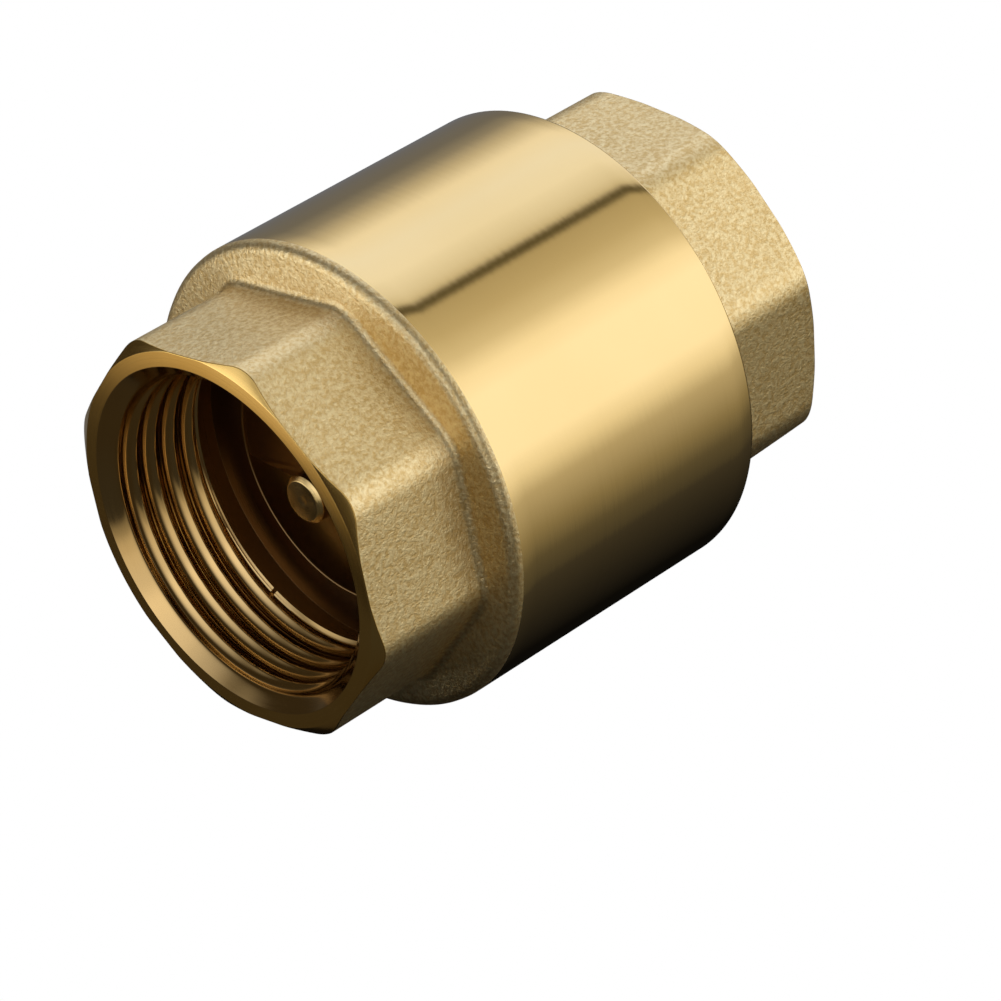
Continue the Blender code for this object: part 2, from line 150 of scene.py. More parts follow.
def eased(corners):
    """Closed outline of (x, radius, rounding, slot) corners, as (x, radius, slot) points.

    The points round each corner with an arc. A corner's slot is the material that follows it.
    """
    steps = 4
    points = []
    count = len(corners)
    for i, (x, r, rounding, slot) in enumerate(corners):
        if not rounding:
            points.append((x, r, slot))
            continue
        here = Vector((x, r))
        before = Vector(corners[i - 1][:2]) - here
        after = Vector(corners[(i + 1) % count][:2]) - here
        previous = corners[i - 1][3]
        angle = before.angle(after, 0.0)
        reach = min(rounding / max(tan(angle / 2), 0.01), 0.45 * before.length, 0.45 * after.length)
        start = here + before.normalized() * reach
        end = here + after.normalized() * reach
        radius = reach * tan(angle / 2)
        middle = here + (before.normalized() + after.normalized()).normalized() * hypot(reach, radius)
        first, last = start - middle, end - middle
        begin = atan2(first.y, first.x)
        sweep = (atan2(last.y, last.x) - begin + pi) % (2 * pi) - pi
        for step in range(steps + 1):
            turn = begin + sweep * step / steps
            x, r = middle.x + radius * cos(turn), middle.y + radius * sin(turn)
            points.append((x, r, slot if step == steps else previous))
    return points


def grid_mesh(name, columns, materials, closed=True, flip=1):
    """A skin of columns, each an (angle, points) pair with the same number of points, round the X axis.

    A flip of -1 turns it half a turn round Z, from the inlet end to the outlet end.
    """
    verts, faces, slots = [], [], []
    rows = len(columns[0][1])
    for angle, points in columns:
        for x, r, _ in points:
            verts.append((flip * x, flip * r * cos(angle), r * sin(angle)))
    for c in range(len(columns)):
        n = (c + 1) % len(columns)
        for i in range(rows if closed else rows - 1):
            j = (i + 1) % rows
            faces.append((c * rows + i, c * rows + j, n * rows + j, n * rows + i))
            slots.append(columns[c][1][i][2])
    return finish_mesh(name, verts, faces, slots, materials)


def finish_mesh(name, verts, faces, slots, materials, sharp=32):
    """A linked object, with doubled points merged and edges over a number of degrees kept sharp."""
    mesh = bpy.data.meshes.new(name)
    mesh.from_pydata(verts, [], faces)
    for material in materials:
        mesh.materials.append(material)
    mesh.polygons.foreach_set("material_index", slots)
    bm = bmesh.new()
    bm.from_mesh(mesh)
    bmesh.ops.remove_doubles(bm, verts=bm.verts, dist=1e-7)
    bmesh.ops.dissolve_degenerate(bm, edges=bm.edges, dist=1e-7)
    bmesh.ops.recalc_face_normals(bm, faces=bm.faces)
    bm.to_mesh(mesh)
    bm.free()
    mesh.shade_smooth()
    mesh.set_sharp_from_angle(angle=radians(sharp))
    obj = bpy.data.objects.new(name, mesh)
    bpy.context.scene.collection.objects.link(obj)
    return obj


# ---------------------------------------------------------------- materials

class Nodes:
    """A small helper to write a node tree as expressions."""

    def __init__(self, tree):
        self.tree = tree

    def add(self, kind, settings=None, **inputs):
        node = self.tree.nodes.new(kind)
        for key, value in (settings or {}).items():
            setattr(node, key, value)
        for key, value in inputs.items():
            socket = node.inputs[key.replace("_", " ")]
            if isinstance(value, bpy.types.NodeSocket):
                self.tree.links.new(value, socket)
            else:
                socket.default_value = value
        return node

    def math(self, operation, *values, clamp=False):
        node = self.tree.nodes.new("ShaderNodeMath")
        node.operation = operation
        node.use_clamp = clamp
        for socket, value in zip(node.inputs, values):
            if isinstance(value, bpy.types.NodeSocket):
                self.tree.links.new(value, socket)
            else:
                socket.default_value = value
        return node.outputs[0]

    def ramp(self, value, stops, smooth="EASE"):
        node = self.tree.nodes.new("ShaderNodeValToRGB")
        self.tree.links.new(value, node.inputs[0])
        node.color_ramp.interpolation = smooth
        elements = node.color_ramp.elements
        while len(elements) > 1:
            elements.remove(elements[-1])
        for i, (position, colour) in enumerate(stops):
            element = elements[0] if i == 0 else elements.new(position)
            element.position = position
            element.color = (*colour, 1) if isinstance(colour, tuple) else (colour, colour, colour, 1)
        return node.outputs[0]

    def map(self, value, from_low, from_high, to_low, to_high, smooth="LINEAR"):
        node = self.tree.nodes.new("ShaderNodeMapRange")
        node.interpolation_type = smooth
        for i, item in enumerate((value, from_low, from_high, to_low, to_high)):
            if isinstance(item, bpy.types.NodeSocket):
                self.tree.links.new(item, node.inputs[i])
            else:
                node.inputs[i].default_value = item
        return node.outputs[0]

    def noise(self, vector, scale, detail=2.0, roughness=0.5):
        node = self.add("ShaderNodeTexNoise", Vector=vector, Scale=scale,
                        Detail=detail, Roughness=roughness)
        return node.outputs["Fac"]

    def blend(self, factor, low, high):
        node = self.add("ShaderNodeMix", {"data_type": "RGBA"})
        for socket, value in ((node.inputs[0], factor), (node.inputs[6], low), (node.inputs[7], high)):
            if isinstance(value, bpy.types.NodeSocket):
                self.tree.links.new(value, socket)
            else:
                socket.default_value = (*value, 1) if isinstance(value, tuple) else value
        return node.outputs[2]


def new_material(name, metallic=1.0, roughness=0.3):
    """A material with its node helper and its shader."""
    material = bpy.data.materials.new(name)
    material.use_nodes = True
    shader = material.node_tree.nodes["Principled BSDF"]
    shader.inputs["Metallic"].default_value = metallic
    shader.inputs["Roughness"].default_value = roughness
    return material, Nodes(material.node_tree), shader


def forged_brass(name):
    """Sand-blasted forging skin: a fine peened grain and slow drifts of tone."""
    material, n, shader = new_material(name)
    coords = n.add("ShaderNodeTexCoord").outputs["Object"]
    grain = n.noise(coords, 2200, 3.0, 0.62)
    fine = n.noise(coords, 4600, 2.0, 0.6)
    drift = n.noise(coords, 120, 3.0, 0.55)
    tone = n.blend(n.map(drift, 0.35, 0.65, 0.0, 1.0), (0.76, 0.54, 0.23), (0.85, 0.62, 0.285))
    tone = n.blend(n.map(grain, 0.38, 0.62, 0.0, 1.0), tone, (1.0, 0.82, 0.47))
    n.tree.links.new(tone, shader.inputs["Base Color"])
    n.tree.links.new(n.map(fine, 0.3, 0.7, 0.36, 0.50), shader.inputs["Roughness"])
    height = n.math("ADD", n.math("MULTIPLY", grain, 0.6), n.math("MULTIPLY", fine, 0.4))
    bump = n.add("ShaderNodeBump", Height=height, Strength=1.0, Distance=0.0001)
    n.tree.links.new(bump.outputs[0], shader.inputs["Normal"])
    return material


def turned_brass(name, low, high, roughness, marks=0.5, fine=14000, wander=60):
    """Brass off the lathe: marks run round the axis, on cylinders and on faces alike."""
    material, n, shader = new_material(name)
    coords = n.add("ShaderNodeTexCoord").outputs["Object"]
    split = n.add("ShaderNodeSeparateXYZ", Vector=coords)
    x, y, z = split.outputs
    r = n.math("SQRT", n.math("ADD", n.math("MULTIPLY", y, y), n.math("MULTIPLY", z, z)))
    lathe = n.add("ShaderNodeCombineXYZ", X=x, Y=r, Z=n.math("MULTIPLY", z, 0.004)).outputs[0]
    lines = n.noise(lathe, fine, 2.0, 0.7)
    broad = n.noise(lathe, fine / 9, 2.0, 0.5)
    haze = n.noise(coords, wander, 3.0, 0.5)
    tone = n.blend(n.map(haze, 0.3, 0.7, 0.0, 1.0), low, high)
    n.tree.links.new(tone, shader.inputs["Base Color"])
    shade = n.math("ADD", n.map(lines, 0.3, 0.7, -0.03, 0.03), n.map(haze, 0.3, 0.7, -0.02, 0.02))
    n.tree.links.new(n.math("ADD", shade, roughness, clamp=True), shader.inputs["Roughness"])
    height = n.math("ADD", lines, n.math("MULTIPLY", broad, 1.5))
    bump = n.add("ShaderNodeBump", Height=height, Strength=marks, Distance=0.00002)
    n.tree.links.new(bump.outputs[0], shader.inputs["Normal"])
    return material


def rubber(name):
    """Matte black moulding with a trace of dust."""
    material, n, shader = new_material(name, 0.0, 0.6)
    coords = n.add("ShaderNodeTexCoord").outputs["Object"]
    dust = n.noise(coords, 900, 3.0, 0.6)
    tone = n.blend(n.map(dust, 0.35, 0.7, 0.0, 1.0), (0.010, 0.010, 0.011), (0.024, 0.023, 0.022))
    n.tree.links.new(tone, shader.inputs["Base Color"])
    n.tree.links.new(n.map(dust, 0.3, 0.7, 0.5, 0.72), shader.inputs["Roughness"])
    bump = n.add("ShaderNodeBump", Height=n.noise(coords, 5000, 2.0), Strength=0.3, Distance=0.00003)
    n.tree.links.new(bump.outputs[0], shader.inputs["Normal"])
    return material


def drawn_steel(name):
    """Bright stainless wire with fine streaks."""
    material, n, shader = new_material(name, 1.0, 0.3)
    coords = n.add("ShaderNodeTexCoord").outputs["Object"]
    streak = n.noise(coords, 2500, 3.0, 0.6)
    tone = n.blend(n.map(streak, 0.3, 0.7, 0.0, 1.0), (0.42, 0.42, 0.41), (0.62, 0.61, 0.59))
    n.tree.links.new(tone, shader.inputs["Base Color"])
    n.tree.links.new(n.map(streak, 0.3, 0.7, 0.2, 0.36), shader.inputs["Roughness"])
    bump = n.add("ShaderNodeBump", Height=streak, Strength=0.2, Distance=0.00001)
    n.tree.links.new(bump.outputs[0], shader.inputs["Normal"])
    return material


forged = forged_brass("forged_brass_skin")
barrel = turned_brass("turned_brass_barrel", (0.88, 0.65, 0.30), (0.91, 0.68, 0.325), 0.04, 0.2)
# The socket's brass is a darker copy of the barrel's: painted shade that keeps the threads, bores and
# seat dim.
socket = turned_brass("turned_brass_socket_painted_shade", (0.60, 0.395, 0.16), (0.70, 0.48, 0.21), 0.12, 0.03, 6000)
face = turned_brass("turned_brass_face", (0.82, 0.53, 0.16), (0.88, 0.60, 0.21), 0.17, 0.2, 6000)
inner = turned_brass("turned_brass_trim", (0.84, 0.60, 0.25), (0.90, 0.67, 0.31), 0.22, 0.6, 9000)
# The stem's tip face is brass darkened as painted shade, for its place deep in the socket.
tip = turned_brass("turned_brass_tip_painted_shade", (0.40, 0.27, 0.11), (0.58, 0.42, 0.20), 0.16, 0.5, 9000, 700)
black_rubber = rubber("nitrile_rubber")
spring_steel = drawn_steel("spring_steel")
# The cavity's brass is far darker than the rest: painted shade for the chamber, window walls, relief and
# guides.
cavity_shade_brass = turned_brass("turned_brass_cavity_painted_shade", (0.24, 0.14, 0.058), (0.33, 0.205, 0.088), 0.3, 0.25, 9000)
body_materials = (forged, barrel, socket, face, cavity_shade_brass)


# ---------------------------------------------------------------- housing

def larger(a, b, blend):
    """The larger of two lengths, rounded where they cross. With both negated it gives the smaller."""
    return (a + b + hypot(a - b, blend)) / 2


def thread_radius(x, angle):
    """Radius of the socket's thread: a right-hand helix with hollow roots and narrow flat crests."""
    centre = GROOVE_X + PITCH * (angle - GROOVE_ANGLE) / (2 * pi)
    off = 2 * (x - centre) / PITCH
    off -= 2 * round(off / 2)
    root = MINOR_RADIUS - EDGE_BLEND + THREAD_DEPTH * (1 - off * off)
    return larger(root, MINOR_RADIUS, EDGE_BLEND)


def tool_mark(angle):
    """Depth of the small tool mark across the lip, at one angle of the inlet socket."""
    off = (angle - TOOL_MARK_ANGLE + pi) % (2 * pi) - pi
    return TOOL_MARK_DEPTH * max(0, 1 - abs(off) / TOOL_MARK_HALF_WIDTH)


def socket_points(angle, mark=0):
    """From the relief out to the socket's mouth: a bevelled lip, the thread and the mouth's cone."""
    points = []
    steps = 170
    for i in range(steps + 1):
        x = RELIEF_X + (-HALF_LENGTH - RELIEF_X) * i / steps
        lip = LIP_RADIUS + mark + LIP_SLOPE * (RELIEF_X - x)
        thread = -larger(-thread_radius(x, angle), -lip, EDGE_BLEND)
        cone = MOUTH_RADIUS - (x + HALF_LENGTH)
        points.append((x, larger(thread, cone, MOUTH_BLEND), 0, SHADED_SOCKET))
    return points


def end_corners(angle, roll, root_x):
    """From the mouth over the turned end face and down the octagon to the shoulder."""
    side = octagon_radius(angle - roll)
    face_r = min(END_RADIUS, side - FACE_INSET)
    tilt = FACE_CROWN / (END_RADIUS - MOUTH_RADIUS)
    crown = -HALF_LENGTH + tilt * (face_r - MOUTH_RADIUS)
    cone_x = crown + END_SLOPE * (side - face_r)
    return [
        (-HALF_LENGTH, MOUTH_RADIUS + 0.05 * MM, 0.05 * MM, FACE),
        (crown, face_r, 0.10 * MM, FACE),
        (cone_x, side, 0.12 * MM, FORGED),
        (cone_x + 2 * MM, side, 0, FORGED),
        (root_x - 2 * MM, side, 0, FORGED),
        (root_x, side, ROOT_FILLET, FORGED),
    ]


def inlet_outline(angle):
    """Closed outline of the inlet body: its socket, octagon and barrel, and back through the chamber."""
    corners = socket_points(angle, tool_mark(angle))
    corners += end_corners(angle, INLET_ROLL, -SHOULDER_X)
    corners += [
        (-SHOULDER_X + SHOULDER_DRAFT, BARREL_RADIUS, SHOULDER_ROUNDING, BARREL),
        (-SHOULDER_X + 3 * MM, BARREL_RADIUS, 0, BARREL),
        (RIM_X - 2 * MM, BARREL_RADIUS, 0, BARREL),
        (RIM_X, BARREL_RADIUS, 0.3 * MM, BARREL),
        (RIM_X, COLLAR_BORE_RADIUS, 0.1 * MM, SHADED_SOCKET),
        (COLLAR_BORE_X, COLLAR_BORE_RADIUS, 0, SHADED_SOCKET),
    ]
    corners += barrel_thread_points(angle)
    corners += [
        # The chamber and window walls take the cavity's brass, darkened as painted shade.
        (GASKET_STEP_X, BARREL_THREAD_RADIUS, 0, SHADED_CAVITY),
        (GASKET_STEP_X, CHAMBER_RADIUS, 0.2 * MM, SHADED_CAVITY),
        (SEAT_FOOT_X, CHAMBER_RADIUS, 0.3 * MM, SHADED_CAVITY),
        (SEAT_FOOT_X, SEAT_FOOT_RADIUS, 0.2 * MM, SHADED_CAVITY),
        (SEAT_X, SEAT_RADIUS, 0.15 * MM, SHADED_SOCKET),
        (SEAT_X, WINDOW_RADIUS, 0.15 * MM, SHADED_CAVITY),
        (-RIM_X, WINDOW_RADIUS, 0.15 * MM, SHADED_CAVITY),
        (-RIM_X, RELIEF_RADIUS, 0.04 * MM, SHADED_CAVITY),
        (RELIEF_X, RELIEF_RADIUS, 0.05 * MM, SHADED_SOCKET),
    ]
    return eased(corners)


def place(obj, body, slot, *nodes):
    """Ride on a body in place of CAD nodes. The slot, a material slot's name, is not used."""
    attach(obj, body)
    if nodes:
        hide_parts(*nodes)
    return obj


def make_inlet():
    turns = [a + INLET_ROLL for a in octagon_columns()]
    turns += [TOOL_MARK_ANGLE + TOOL_MARK_HALF_WIDTH * step for step in (-1, -0.5, 0, 0.5, 1)]
    first = turns[0]
    turns.sort(key=lambda turn: (turn - first) % (2 * pi))
    columns = [(turn, inlet_outline(turn)) for turn in turns]
    place(grid_mesh("inlet_shell", columns, body_materials), "housing", "forged_brass", "inlet_body")


def cap_thread_height(x, angle, low, high, width, height):
    """Height of the right-hand thread between the cap and the barrel, which fades in and out."""
    tooth = x - CAP_THREAD_X - CAP_PITCH * angle / (2 * pi)
    off = abs(tooth - CAP_PITCH * round(tooth / CAP_PITCH))
    rise = (off - width) / (height * tan(CAP_FLANK))
    ends = min(1, max(0, (x - low) / (0.6 * MM)), max(0, (high - x) / (0.6 * MM)))
    return height * min(max(1 - rise, 0), 1) * ends


def barrel_thread_points(angle):
    """The thread cut into the barrel's open end, from the rim side inwards."""
    start, end, steps = 11.4 * MM, 3.9 * MM, 75
    points = []
    for i in range(steps + 1):
        x = start + (end - start) * i / steps
        depth = cap_thread_height(x, angle, 5.5 * MM, 12.5 * MM, 0.3 * MM, 1.05 * MM)
        points.append((x, BARREL_THREAD_RADIUS + depth, 0, SHADED_SOCKET))
    return points


def cap_thread_points(angle):
    """The cap's own thread, in the frame of the inlet end."""
    start, end, steps = -5.8 * MM, -12.2 * MM, 64
    points = []
    for i in range(steps + 1):
        x = start + (end - start) * i / steps
        height = cap_thread_height(-x, pi - angle, 6.4 * MM, 11.9 * MM, 0.12 * MM, 1.1 * MM)
        points.append((x, CAP_THREAD_RADIUS + height, 0, SHADED_SOCKET))
    return points


def outlet_outline(angle):
    """Closed outline of the cap, in the frame of the inlet end: socket, octagon, thread and nose."""
    corners = socket_points(angle)
    corners += end_corners(angle, pi - OUTLET_ROLL, -COLLAR_FACE_X)
    corners += [
        (-COLLAR_FACE_X, COLLAR_RADIUS, 0.15 * MM, SHADED_SOCKET),
        (-COLLAR_BACK_X, COLLAR_RADIUS, 0.1 * MM, SHADED_SOCKET),
        (-COLLAR_BACK_X, CAP_THREAD_RADIUS, 0, SHADED_SOCKET),
    ]
    corners += cap_thread_points(angle)[::-1]
    corners += [
        (-CAP_NOSE_X, CAP_THREAD_RADIUS, 0.3 * MM, SHADED_SOCKET),
        # The nose bore and window walls take the cavity's brass, darkened as painted shade.
        (-CAP_NOSE_X, CAP_NOSE_BORE, 0.2 * MM, SHADED_CAVITY),
        (-OUTLET_GUIDE_BACK, CAP_NOSE_BORE, 0.3 * MM, SHADED_CAVITY),
        (-OUTLET_GUIDE_BACK, WINDOW_RADIUS, 0.15 * MM, SHADED_CAVITY),
        (-RIM_X, WINDOW_RADIUS, 0.15 * MM, SHADED_CAVITY),
        (-RIM_X, RELIEF_RADIUS, 0.04 * MM, SHADED_CAVITY),
        (RELIEF_X, RELIEF_RADIUS, 0.05 * MM, SHADED_SOCKET),
    ]
    return eased(corners)


def make_outlet():
    roll = pi - OUTLET_ROLL
    columns = [(a + roll, outlet_outline(a + roll)) for a in octagon_columns()]
    shell = grid_mesh("outlet_shell", columns, body_materials, flip=-1)
    place(shell, "housing", "forged_brass", "outlet_cap")


def arm_radius(angle, reach):
    """Outline of a hub with two flared arms along Y, blended where they meet."""
    blend = 0.9 * MM
    off = abs((angle + pi / 2) % pi - pi / 2)
    spread = sin(off) - ARM_FLARE * cos(off)
    # Close to an arm's own direction its side is out of reach, so any great length will do
    side = ARM_HALF_WIDTH / spread if spread > 0.05 else 1.0
    gap = max(blend - abs(side - HUB_RADIUS), 0) / blend
    joined = max(side, HUB_RADIUS) + gap * gap * blend / 4
    return min(joined, reach)


def make_guide(name, node, x_face, x_back, flip, collar=0.0):
    """A guide's hub and arms, their tips let into the wall. The outlet's has a collar for the spring."""
    columns = []
    reach = WINDOW_RADIUS + 0.3 * MM
    ring = HUB_RADIUS - 0.25 * MM
    x_arm = x_face + 0.3 * MM
    x_collar = x_back - 1.5 * MM
    for step in range(240):
        angle = radians(1.5 * step)
        side = arm_radius(angle, reach)
        corners = [
            (x_face, GUIDE_BORE, 0.25 * MM, 0),
            (x_face, ring, 0.1 * MM, 0),
            (x_arm, ring + 0.1 * MM, 0.05 * MM, 0),
            (x_arm, side, 0.15 * MM, 0),
        ]
        if collar:
            wide = max(side, collar)
            corners += [(x_collar, side, 0, 0), (x_collar, wide, 0, 0), (x_back, wide, 0.15 * MM, 0)]
        else:
            corners += [(x_back, side, 0.15 * MM, 0)]
        corners += [(x_back, GUIDE_BORE, 0.25 * MM, 0)]
        columns.append((angle, eased(corners)))
    # The guides take the cavity's brass, darkened as painted shade.
    guide = grid_mesh(name, columns, [cavity_shade_brass], flip=flip)
    place(guide, "housing", "forged_brass", node)


def turned_piece(name, corners, materials, body, slot, node, centre_z=0.0, columns=96, closed=True):
    """A lathe piece from (x, radius, rounding) corners, with its own axis through its origin."""
    outline = eased([(*corner, 0)[:4] for corner in corners])
    turns = [(2 * pi * i / columns, outline) for i in range(columns)]
    obj = grid_mesh(name, turns, materials, closed)
    obj.location.z = centre_z
    return place(obj, body, slot, node)


# ---------------------------------------------------------------- moving group

def stem_outline():
    """The rod from its chamfered rear end to its tip, with a thread for the nut and a centre mark."""
    points = [
        (14.0 * MM, 0, 0),
        (14.0 * MM, STEM_RADIUS, 0.35 * MM),
        (3.6 * MM, STEM_RADIUS, 0.1 * MM),
    ]
    ridge = 0.4 * MM
    start = 3.3 * MM
    for i in range(9):
        x = start - 2 * i * ridge
        points += [(x, STEM_RADIUS - 0.22 * MM, 0.05 * MM), (x - ridge, STEM_RADIUS, 0.05 * MM)]
    points += [
        (-8.4 * MM, STEM_RADIUS, 0),
        (-8.4 * MM, 3.3 * MM, 0.1 * MM),
        (-9.1 * MM, 3.3 * MM, 0.15 * MM),
        (-9.1 * MM, STEM_RADIUS, 0.1 * MM),
        (-19.25 * MM, STEM_RADIUS, 0.08 * MM),
        # The last corners, the tip's chamfer and face, take the second material: brass darkened as
        # painted shade.
        (-19.6 * MM, STEM_RADIUS - 0.42 * MM, 0.12 * MM, 1),
        (-19.6 * MM, 0.55 * MM, 0.1 * MM, 1),
        (-19.55 * MM, 0, 0, 1),
    ]
    return points


def make_discs():
    """The lathe pieces: stem, clamp, seal and cup on the stem's axis, and the cap's gasket."""
    bore = DISC_BORE
    lathe = dict(body="poppet", centre_z=-STEM_DROP)
    turned_piece("stem_rod", stem_outline(), [inner, tip], slot="turned_brass", node="stem",
                 columns=72, closed=False, **lathe)
    turned_piece("clamp_plate", [
        (-7.25 * MM, bore, 0.1 * MM),
        (-7.25 * MM, 10.4 * MM, 0.1 * MM),
        (-9.1 * MM, 10.4 * MM, 0.4 * MM),
        (-9.1 * MM, 3.6 * MM, 0.15 * MM),
        (-8.1 * MM, 3.6 * MM, 0.1 * MM),
        (-8.1 * MM, bore, 0.1 * MM),
    ], [inner], slot="turned_brass", node="clamp_disc", **lathe)
    turned_piece("seal_ring", [
        (-4.0 * MM, bore, 0.1 * MM),
        (-4.0 * MM, 14.7 * MM, 0.3 * MM),
        (-7.0 * MM, 14.7 * MM, 0.5 * MM),
        (-7.0 * MM, bore, 0.1 * MM),
    ], [black_rubber], slot="rubber", node="seal_disc", **lathe)
    turned_piece("backing_cup", [
        (-0.95 * MM, bore, 0.1 * MM),
        (-0.95 * MM, 5.7 * MM, 0.2 * MM),
        (-1.75 * MM, 5.7 * MM, 0.2 * MM),
        (-1.75 * MM, 16.0 * MM, 0.5 * MM),
        (-5.6 * MM, 16.0 * MM, 0.2 * MM),
        (-5.6 * MM, 15.0 * MM, 0.2 * MM),
        (-3.75 * MM, 15.0 * MM, 0.2 * MM),
        (-3.75 * MM, bore, 0.1 * MM),
    ], [inner], slot="turned_brass", node="backing_disc", columns=144, **lathe)
    turned_piece("cap_seal", [
        (4.95 * MM, 18.65 * MM, 0.2 * MM),
        (4.95 * MM, 19.85 * MM, 0.2 * MM),
        (3.65 * MM, 19.85 * MM, 0.2 * MM),
        (3.65 * MM, 18.65 * MM, 0.2 * MM),
    ], [black_rubber], "housing", "rubber", "cap_gasket", columns=144)


def make_nut():
    """A hexagon nut with its corners turned off on both faces."""
    low, high, flats = -0.7 * MM, 2.0 * MM, 4.0 * MM
    face_radius, corner_radius = 3.85 * MM, 4.56 * MM
    bore = DISC_BORE
    columns = []
    for step in range(120):
        angle = radians(3 * step)
        off = abs((angle + pi / 6) % (pi / 3) - pi / 6)
        side = min(flats / cos(off), corner_radius)
        drop = (side - face_radius) * tan(radians(30))
        columns.append((angle, eased([
            (high, bore, 0.15 * MM, 0),
            (high, face_radius, 0.05 * MM, 0),
            (high - drop, side, 0.05 * MM, 0),
            (low + drop, side, 0.05 * MM, 0),
            (low, face_radius, 0.05 * MM, 0),
            (low, bore, 0.15 * MM, 0),
        ])))
    nut = grid_mesh("hex_nut", columns, [inner])
    nut.location.z = -STEM_DROP
    place(nut, "poppet", "turned_brass", "stem_nut")


def make_spring():
    """A coil with close end turns, in round wire, that shortens as the poppet opens."""
    wire, coil, end_pitch = 0.4 * MM, 6.6 * MM, 1.15 * MM
    low, high = -1.1 * MM, 8.65 * MM
    end_turns, working = 0.75, 3
    pitch = (high - low - 2 * end_turns * end_pitch) / working
    per_turn, around = 60, 14
    steps = round((working + 2 * end_turns) * per_turn)
    verts, faces = [], []
    for step in range(steps + 1):
        turn = step / per_turn
        first = min(turn, end_turns)
        middle = min(max(turn - end_turns, 0), working)
        last = max(turn - end_turns - working, 0)
        x = low + (first + last) * end_pitch + middle * pitch
        angle = 2 * pi * turn
        inside = end_turns < turn < end_turns + working
        lean = atan((pitch if inside else end_pitch) / (2 * pi * coil))
        out = Vector((0, cos(angle), sin(angle)))
        along = Vector((cos(lean), sin(lean) * sin(angle), -sin(lean) * cos(angle)))
        middle_point = Vector((x, 0, 0)) + coil * out
        for k in range(around):
            phase = 2 * pi * k / around
            verts.append(middle_point + wire * (cos(phase) * out + sin(phase) * along))
    for step in range(steps):
        for k in range(around):
            a, b = step * around + k, step * around + (k + 1) % around
            faces.append((a, b, b + around, a + around))
    faces += [tuple(range(around)), tuple(steps * around + k for k in range(around))]
    coil_obj = finish_mesh("return_coil", verts, faces, [0] * len(faces), [spring_steel], 50)
    coil_obj.location.z = -STEM_DROP
    place(coil_obj, "return_spring", "stainless_steel", "spring")
    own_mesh(coil_obj)


make_inlet()
make_outlet()
make_guide("inlet_guide", "inlet_body", -RIM_X, -INLET_GUIDE_BACK, 1)
make_guide("outlet_guide", "outlet_cap", -RIM_X, -OUTLET_GUIDE_BACK, -1, SPRING_COLLAR_RADIUS)
make_discs()
make_nut()
make_spring()


# ---------------------------------------------------------------- studio

CAMERA_PLACE = (-0.25716, -0.25753, 0.26303)
CAMERA_FORWARD = (0.57092, 0.55890, -0.60139)
CAMERA_RIGHT = (0.70069, -0.71346, 0.00214)

camera_data = bpy.data.cameras.new("camera")
camera_data.lens = 174.91
camera_data.sensor_width = 36
camera_data.clip_start = 0.01
camera = bpy.data.objects.new("camera", camera_data)
bpy.context.scene.collection.objects.link(camera)
camera.location = CAMERA_PLACE
forward = Vector(CAMERA_FORWARD).normalized()
right = Vector(CAMERA_RIGHT).normalized()
up = right.cross(forward).normalized()
turned = Matrix((right, up, -forward)).transposed().to_4x4()
camera.matrix_world = Matrix.Translation(camera.location) @ turned
bpy.context.scene.camera = camera

# Soft strip lights run along X behind and above the valve. Each stop is degrees round X from +Y
# towards +Z, brightness, and warmth from -1, cool, to 1, warm.
BANDS = [
    (-20, 0.15, -0.4), (0, 0.17, -0.3), (12, 0.29, 0.0), (24, 0.60, 0.2), (36, 0.96, -0.2),
    (50, 0.96, -0.7), (66, 0.96, -0.5), (78, 0.80, -0.2), (83, 0.66, 0.2), (85.5, 0.12, 1.0),
    (88.5, 0.12, 1.0), (91, 0.48, 0.8), (104, 0.58, 0.7), (116, 0.76, 0.4), (126, 1.08, 0.1),
    (136, 1.18, -0.1), (166, 1.15, 0.0), (176, 0.92, 0.3), (186, 0.53, 0.6), (205, 0.27, 1.0),
    (218, 0.11, 0.9), (238, 0.035, 0.4), (260, 0.012, 0.3), (320, 0.02, 0.0),
]

# Light from before the inlet, for directions that lean well towards -X. The stops read as in BANDS.
FRONT = [
    (-40, 0.05, 0.6), (-33, 1.20, 0.2), (-20, 2.20, 0.0), (-8, 2.20, 0.0), (5, 2.00, 0.0),
    (18, 1.40, 0.0), (28, 1.00, 0.0), (42, 0.40, 0.2), (60, 0.78, -0.2), (90, 1.12, -0.2),
    (120, 1.30, -0.1), (141, 1.00, 0.0), (160, 0.95, 0.2), (172, 0.80, 0.4), (184, 0.40, 0.6),
    (193, 0.05, 0.6), (319, 0.05, 0.6),
]


def tinted(stops):
    """Colour ramp stops for bands of light round X, from -40 to 320 degrees."""
    return [
        ((deg + 40) / 360, (value, value * (1 - 0.1 * warmth), value * (1 - 0.38 * warmth)))
        for deg, value, warmth in stops
    ]


def build_world():
    """Strips of light all round the valve, with plain white where the camera looks past it."""
    world = bpy.data.worlds.new("studio")
    world.use_nodes = True
    bpy.context.scene.world = world
    n = Nodes(world.node_tree)
    background = world.node_tree.nodes["Background"]
    coords = n.add("ShaderNodeTexCoord").outputs["Generated"]
    x, y, z = n.add("ShaderNodeSeparateXYZ", Vector=coords).outputs
    angle = n.math("ARCTAN2", z, y)
    turn = n.math("FRACT", n.math("ADD", n.math("DIVIDE", angle, 2 * pi), 1 + 40 / 360))
    bands = n.ramp(turn, tinted(BANDS), "LINEAR")
    front = n.ramp(turn, tinted(FRONT), "EASE")
    dark = (0.045, 0.036, 0.022)
    front = n.blend(n.map(x, -0.98, -0.91, 0.0, 1.0, "SMOOTHSTEP"), dark, front)
    front = n.blend(n.map(x, -0.84, -0.42, 0.0, 1.0, "SMOOTHSTEP"), front, dark)
    side = n.map(x, -0.20, 0.25, 0.0, 1.0, "SMOOTHSTEP")
    light = n.blend(side, front, bands)
    seen = n.add("ShaderNodeLightPath").outputs["Is Camera Ray"]
    final = n.blend(seen, light, (1.0, 1.0, 1.0))
    n.tree.links.new(final, background.inputs["Color"])


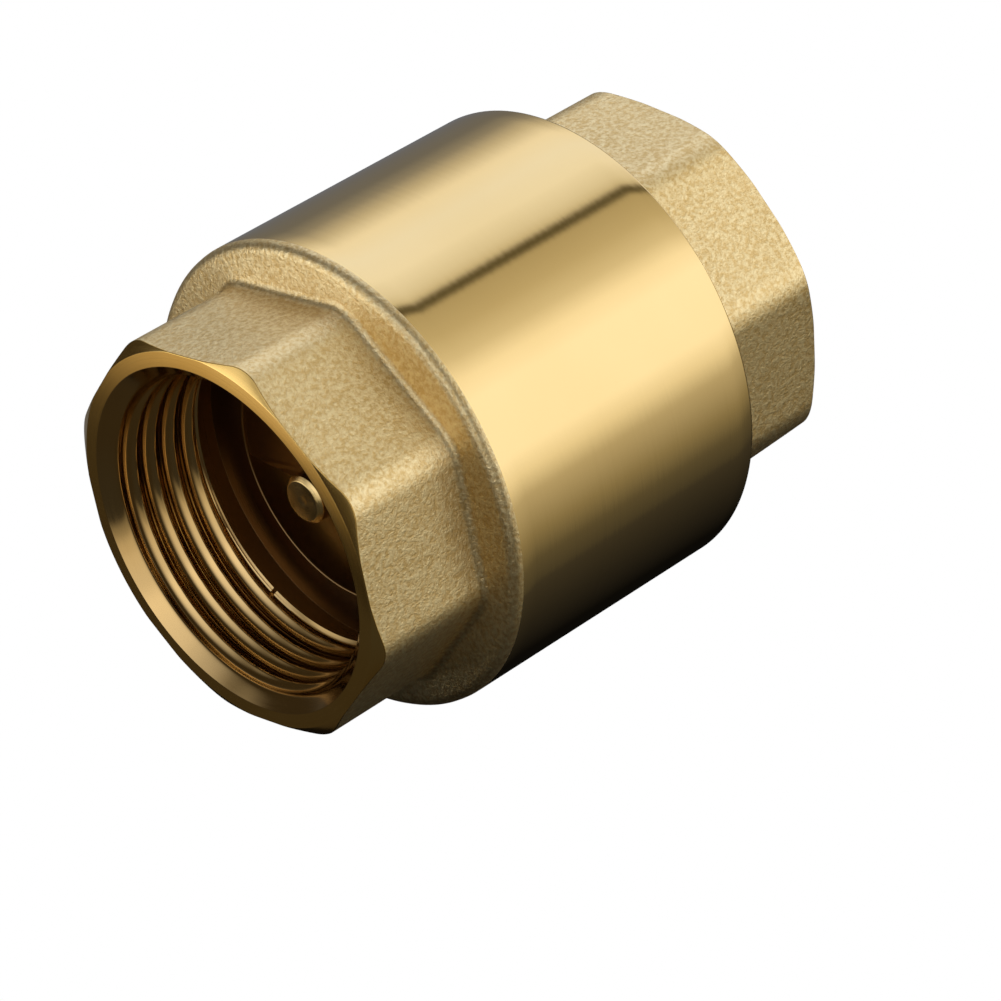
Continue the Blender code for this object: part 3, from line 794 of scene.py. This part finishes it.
def glowing_sheet(name, x_low, x_high, y_low, y_high, z):
    """A level sheet that gives light of its own and reflects none."""
    mesh = bpy.data.meshes.new(name)
    corners = [(x_low, y_low, z), (x_high, y_low, z), (x_high, y_high, z), (x_low, y_high, z)]
    mesh.from_pydata(corners, [], [(0, 1, 2, 3)])
    sheet = bpy.data.objects.new(name, mesh)
    bpy.context.scene.collection.objects.link(sheet)
    material = bpy.data.materials.new(name)
    material.use_nodes = True
    shader = material.node_tree.nodes["Principled BSDF"]
    shader.inputs["Base Color"].default_value = (0.0, 0.0, 0.0, 1)
    shader.inputs["Emission Color"].default_value = (1, 1, 1, 1)
    shader.inputs["Emission Strength"].default_value = 1.0
    shader.inputs["Specular IOR Level"].default_value = 0.0
    mesh.materials.append(material)
    return sheet, Nodes(material.node_tree), shader


def make_reflector():
    """A glowing card on the floor before the inlet, paler and brighter farther out, and dimmed near the
    valve as its painted shadow.

    It lights the valve and shows in its reflections, but the camera doesn't see it.
    """
    height = -BARREL_RADIUS + 0.2 * MM
    card, n, shader = glowing_sheet("floor_reflector", -0.13, -0.056, 0.0, 0.10, height)
    coords = n.add("ShaderNodeTexCoord").outputs["Object"]
    x, y, _ = n.add("ShaderNodeSeparateXYZ", Vector=coords).outputs
    # Painted shadow of the valve on the floor: the glow falls off towards the valve along X, and along Y
    # where spread is small.
    far = n.map(x, -0.100, -0.076, 1.0, 0.0)
    across = n.math("ADD", n.map(x, -0.072, -0.057, 0.52, 0.06), n.math("MULTIPLY", far, 0.6))
    spread = n.math("SUBTRACT", y, n.math("MULTIPLY", n.math("ADD", x, 0.062), 0.6))
    shadow_near_valve = n.map(spread, 0.012, 0.050, 0.16, 1.0, "SMOOTHSTEP")
    n.tree.links.new(n.math("MULTIPLY", across, shadow_near_valve), shader.inputs["Emission Strength"])
    n.tree.links.new(n.blend(far, (1.0, 0.80, 0.50), (1.0, 0.94, 0.82)), shader.inputs["Emission Color"])
    card.visible_camera = False


def make_shadow():
    """The dim floor under the valve, as its polished surfaces see it. The camera doesn't see it."""
    height = -BARREL_RADIUS + 0.1 * MM
    patch, n, shader = glowing_sheet("floor_shadow", -0.030, 0.045, -0.042, 0.042, height)
    coords = n.add("ShaderNodeTexCoord").outputs["Object"]
    y = n.add("ShaderNodeSeparateXYZ", Vector=coords).outputs["Y"]
    glow = n.map(n.math("ABSOLUTE", y), 0.018, 0.042, 0.004, 0.05)
    n.tree.links.new(glow, shader.inputs["Emission Strength"])
    shader.inputs["Emission Color"].default_value = (1.0, 0.93, 0.80, 1)
    patch.visible_camera = False


build_world()

floor, _, _ = glowing_sheet("pale_floor", -3, 3, -3, 3, -BARREL_RADIUS)
floor.visible_diffuse = False
floor.visible_glossy = False
make_reflector()
make_shadow()

bpy.context.scene.view_settings.view_transform = "Standard"
